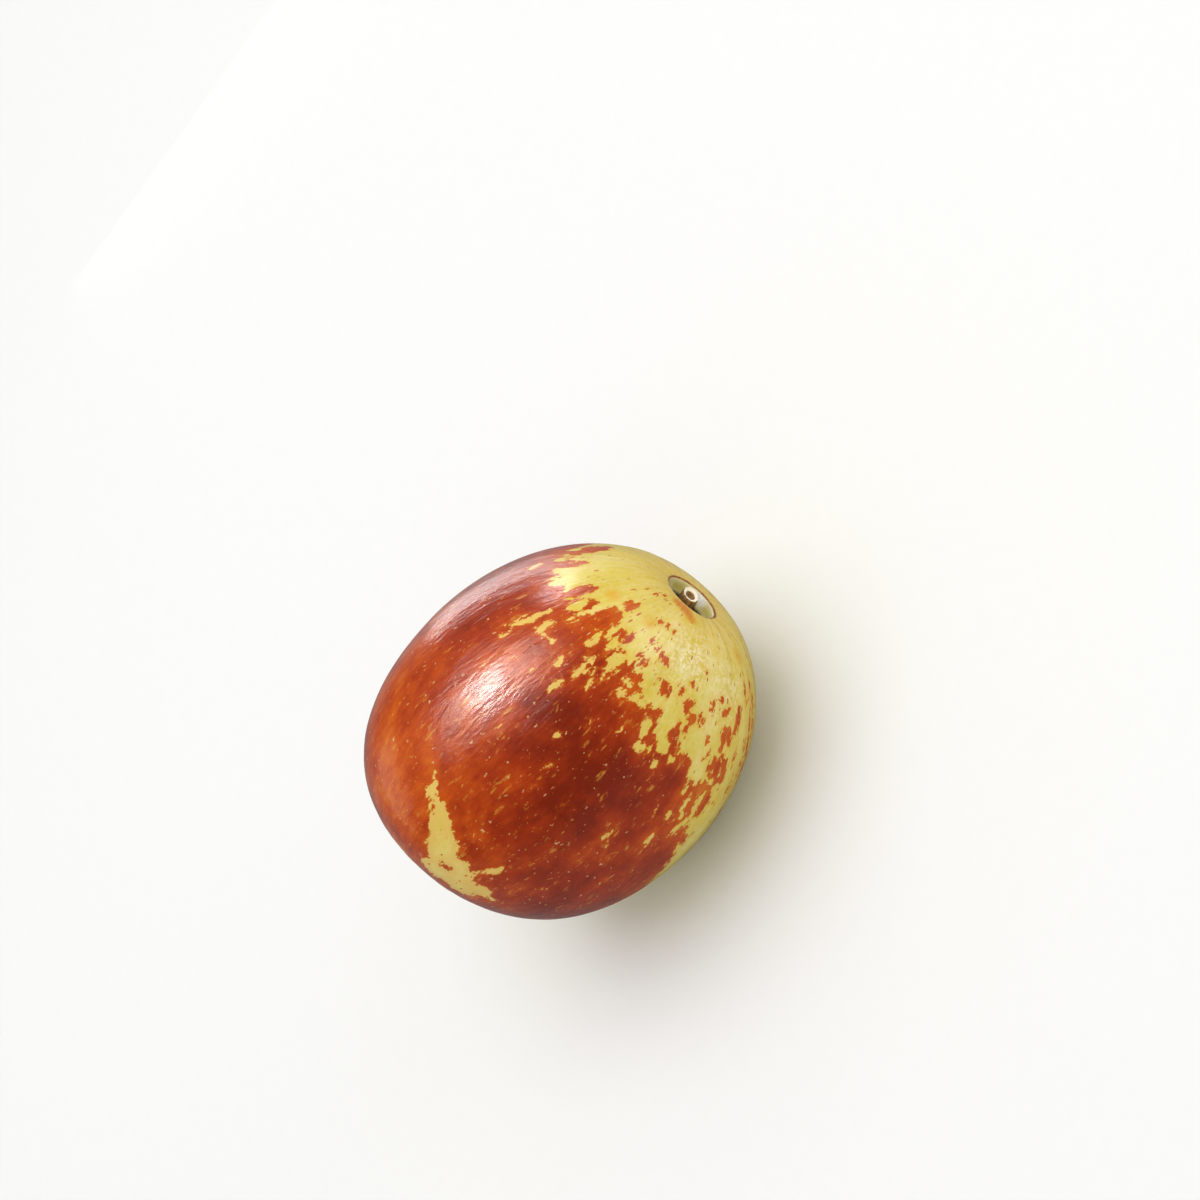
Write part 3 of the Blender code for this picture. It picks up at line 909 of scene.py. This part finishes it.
class StageLook(bpy.types.PropertyGroup):
    """The floor, the lights and the camera"""

    floor_colour: colour_property("Floor", "Colour of the floor", "#E8E8E6")
    sky: FloatProperty(
        name="Sky", description="Strength of the soft light from all round", default=0.7
    )
    key: FloatProperty(
        name="Key light", description="Power of the soft light above", default=2.5, unit="POWER"
    )
    sheen: FloatProperty(
        name="Sheen light", description="Power of the light above that is seen in the gloss alone",
        default=2.2, unit="POWER",
    )
    back: FloatProperty(
        name="Back light", description="Power of the low light behind", default=0.12, unit="POWER"
    )
    back_shine: FloatProperty(
        name="Back shine", description="Power of the lights behind that are seen in the gloss alone",
        default=1.6, unit="POWER",
    )
    right: FloatProperty(
        name="Right light", description="Power of the low light on the side of the stalk",
        default=0.6, unit="POWER",
    )
    azimuth: FloatProperty(
        name="Camera azimuth", description="Angle of the camera round the fruit",
        default=math.radians(26.35), subtype="ANGLE",
    )
    elevation: FloatProperty(
        name="Camera elevation", description="Angle of the camera above the floor",
        default=math.radians(40), subtype="ANGLE",
    )
    roll: FloatProperty(
        name="Camera roll", description="How far the camera is turned about its own line of sight",
        default=math.radians(66.56), subtype="ANGLE",
    )
    distance: FloatProperty(
        name="Camera distance", description="From the place it looks at", default=333.3 * MM, unit="LENGTH"
    )
    aim: FloatVectorProperty(
        name="Aim", description="The place in the middle of the picture",
        default=(11.13 * MM, 6.67 * MM, 18.28 * MM), subtype="TRANSLATION",
    )


def camera_axes(azimuth, elevation, roll):
    """The camera's right, up and backward directions: set by two angles, then turned about the last."""
    outward = math.cos(elevation)
    back = Vector((math.sin(azimuth) * outward, -math.cos(azimuth) * outward, math.sin(elevation)))
    level = Vector((math.cos(azimuth), math.sin(azimuth), 0))
    upright = back.cross(level)
    right = level * math.cos(roll) - upright * math.sin(roll)
    up = upright * math.cos(roll) + level * math.sin(roll)
    return right, up, back


def add_light(name, towards, distance, size, power, shine_only=False, colour=(1, 1, 1)):
    """A soft rectangular light, hidden from the camera. Where asked, it shows in the gloss alone."""
    data = bpy.data.lights.new(name, "AREA")
    data.shape = "RECTANGLE"
    data.size, data.size_y = size
    data.energy = power
    data.color = colour
    light = bpy.data.objects.new(name, data)
    bpy.context.scene.collection.objects.link(light)
    towards = Vector(towards).normalized()
    light.location = towards * distance + Vector(AIM_OF_LIGHTS)
    light.rotation_euler = towards.to_track_quat("Z", "Y").to_euler()
    light.visible_diffuse = not shine_only
    light.visible_camera = False


def soft_sky(strength):
    """A white sky that lights everything evenly, and is dimmer where the fruit's gloss mirrors it."""
    world = bpy.data.worlds.new("soft_sky")
    world.use_nodes = True
    tree = world.node_tree
    tree.nodes.clear()
    mirrored = add_node(tree, "LightPath").outputs["Is Glossy Ray"]
    row = (mirrored, 0, 1, strength, strength * MIRRORED_SKY)
    dimmed = add_node(tree, "MapRange", dict(zip(RANGE, row)))
    background = add_node(tree, "Background", {"Color": (1, 1, 1, 1), "Strength": dimmed})
    add_node(tree, "OutputWorld", {"Surface": background})
    return world


class JUJUBE_OT_fruit(bpy.types.Operator):
    """Build the fruit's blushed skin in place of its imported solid"""

    bl_idname = "jujube.fruit"
    bl_label = "Fruit"

    def execute(self, context):
        look = context.scene.jujube_fruit
        mesh, length = make_fruit_mesh(look)
        show(mesh, "fruit", blushed_skin(look, length))
        return {"FINISHED"}


class JUJUBE_OT_stalk(bpy.types.Operator):
    """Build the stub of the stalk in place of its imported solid"""

    bl_idname = "jujube.stalk"
    bl_label = "Stub of the stalk"

    def execute(self, context):
        mesh = make_stalk_mesh(context.scene.jujube_stalk)
        show(mesh, "stalk", cut_stalk())
        return {"FINISHED"}


class JUJUBE_OT_stage(bpy.types.Operator):
    """Put in the floor, the lights, the sky and the camera"""

    bl_idname = "jujube.stage"
    bl_label = "Studio"

    def execute(self, context):
        look = context.scene.jujube_stage
        mesh = bpy.data.meshes.new("floor")
        far = FLOOR_REACH
        corners = [(-far, -far, 0), (far, -far, 0), (far, far, 0), (-far, far, 0)]
        mesh.from_pydata(corners, [], [(0, 1, 2, 3)])
        mesh.materials.append(pale_floor(look.floor_colour))
        floor = bpy.data.objects.new("floor", mesh)
        context.scene.collection.objects.link(floor)

        right, up, back = camera_axes(look.azimuth, look.elevation, look.roll)
        data = bpy.data.cameras.new("camera")
        data.lens = 100
        data.sensor_width = 36
        camera = bpy.data.objects.new("camera", data)
        context.scene.collection.objects.link(camera)
        turned = Matrix((right, up, back)).transposed()
        camera.rotation_euler = turned.to_euler()
        camera.location = Vector(look.aim) + back * look.distance
        context.scene.camera = camera

        sheen = look.sheen
        shine = look.back_shine
        add_light("key", (0.07, 0.1, 0.99), 0.6, (0.7, 0.6), look.key)
        add_light("sheen", (0.03, 0.2, 0.96), 0.5, (0.48, 0.22), sheen, True, WARM_WHITE)
        add_light("sheen_inner", (0.02, 0.17, 0.98), 0.49, (0.3, 0.16), sheen * 0.45, True, WARM_WHITE)
        add_light("sheen_middle", (0.0, 0.16, 0.98), 0.48, (0.14, 0.11), sheen * 0.85, True)
        add_light("back", (0.35, 0.93, 0.2), 0.6, (0.6, 0.2), look.back)
        add_light("back_shine", (0.08, 0.99, 0.055), 0.6, (0.5, 0.045), shine * 0.5, True)
        add_light("back_low", (-0.05, 0.99, -0.09), 0.152, (0.08, 0.02), shine * 0.015, True)
        add_light("back_spot", (0.48, 0.79, 0.37), 0.58, (0.1, 0.16), shine * 0.6, True)
        add_light("left_shine", (-0.82, 0.45, 0.3), 0.6, (0.35, 0.25), shine * 0.2, True, WARM_WHITE)
        add_light("right", (0.98, -0.05, 0.16), 0.6, (0.5, 0.18), look.right)
        add_light("right_shine", (0.98, -0.15, 0.1), 0.58, (0.2, 0.12), look.right * 0.6, True)

        context.scene.world = soft_sky(look.sky)
        context.scene.view_settings.view_transform = "Standard"
        return {"FINISHED"}


class JUJUBE_PT_panel(bpy.types.Panel):
    """The sidebar's panel with the fruit's pieces and settings"""

    bl_idname = "JUJUBE_PT_panel"
    bl_label = "Fresh jujube"
    bl_space_type = "VIEW_3D"
    bl_region_type = "UI"
    bl_category = "Jujube"

    def draw(self, context):
        for operator, group in PIECES:
            box = self.layout.box()
            box.operator(operator.bl_idname)
            settings = getattr(context.scene, group)
            for name in settings.__annotations__:
                box.prop(settings, name)


PIECES = (
    (JUJUBE_OT_fruit, "jujube_fruit"),
    (JUJUBE_OT_stalk, "jujube_stalk"),
    (JUJUBE_OT_stage, "jujube_stage"),
)
GROUPS = {"jujube_fruit": FruitLook, "jujube_stalk": StalkLook, "jujube_stage": StageLook}
CLASSES = (*GROUPS.values(), JUJUBE_OT_fruit, JUJUBE_OT_stalk, JUJUBE_OT_stage, JUJUBE_PT_panel)


def register():
    """Makes the classes and the scene's settings known to Blender."""
    for each in CLASSES:
        bpy.utils.register_class(each)
    for name, group in GROUPS.items():
        setattr(bpy.types.Scene, name, PointerProperty(type=group))


def unregister():
    """Takes the settings and the classes away again."""
    for name in GROUPS:
        delattr(bpy.types.Scene, name)
    for each in reversed(CLASSES):
        bpy.utils.unregister_class(each)


def main():
    """Builds the pieces and the studio."""
    register()
    bpy.ops.jujube.fruit()
    bpy.ops.jujube.stalk()
    bpy.ops.jujube.stage()


if __name__ == "__main__":
    main()
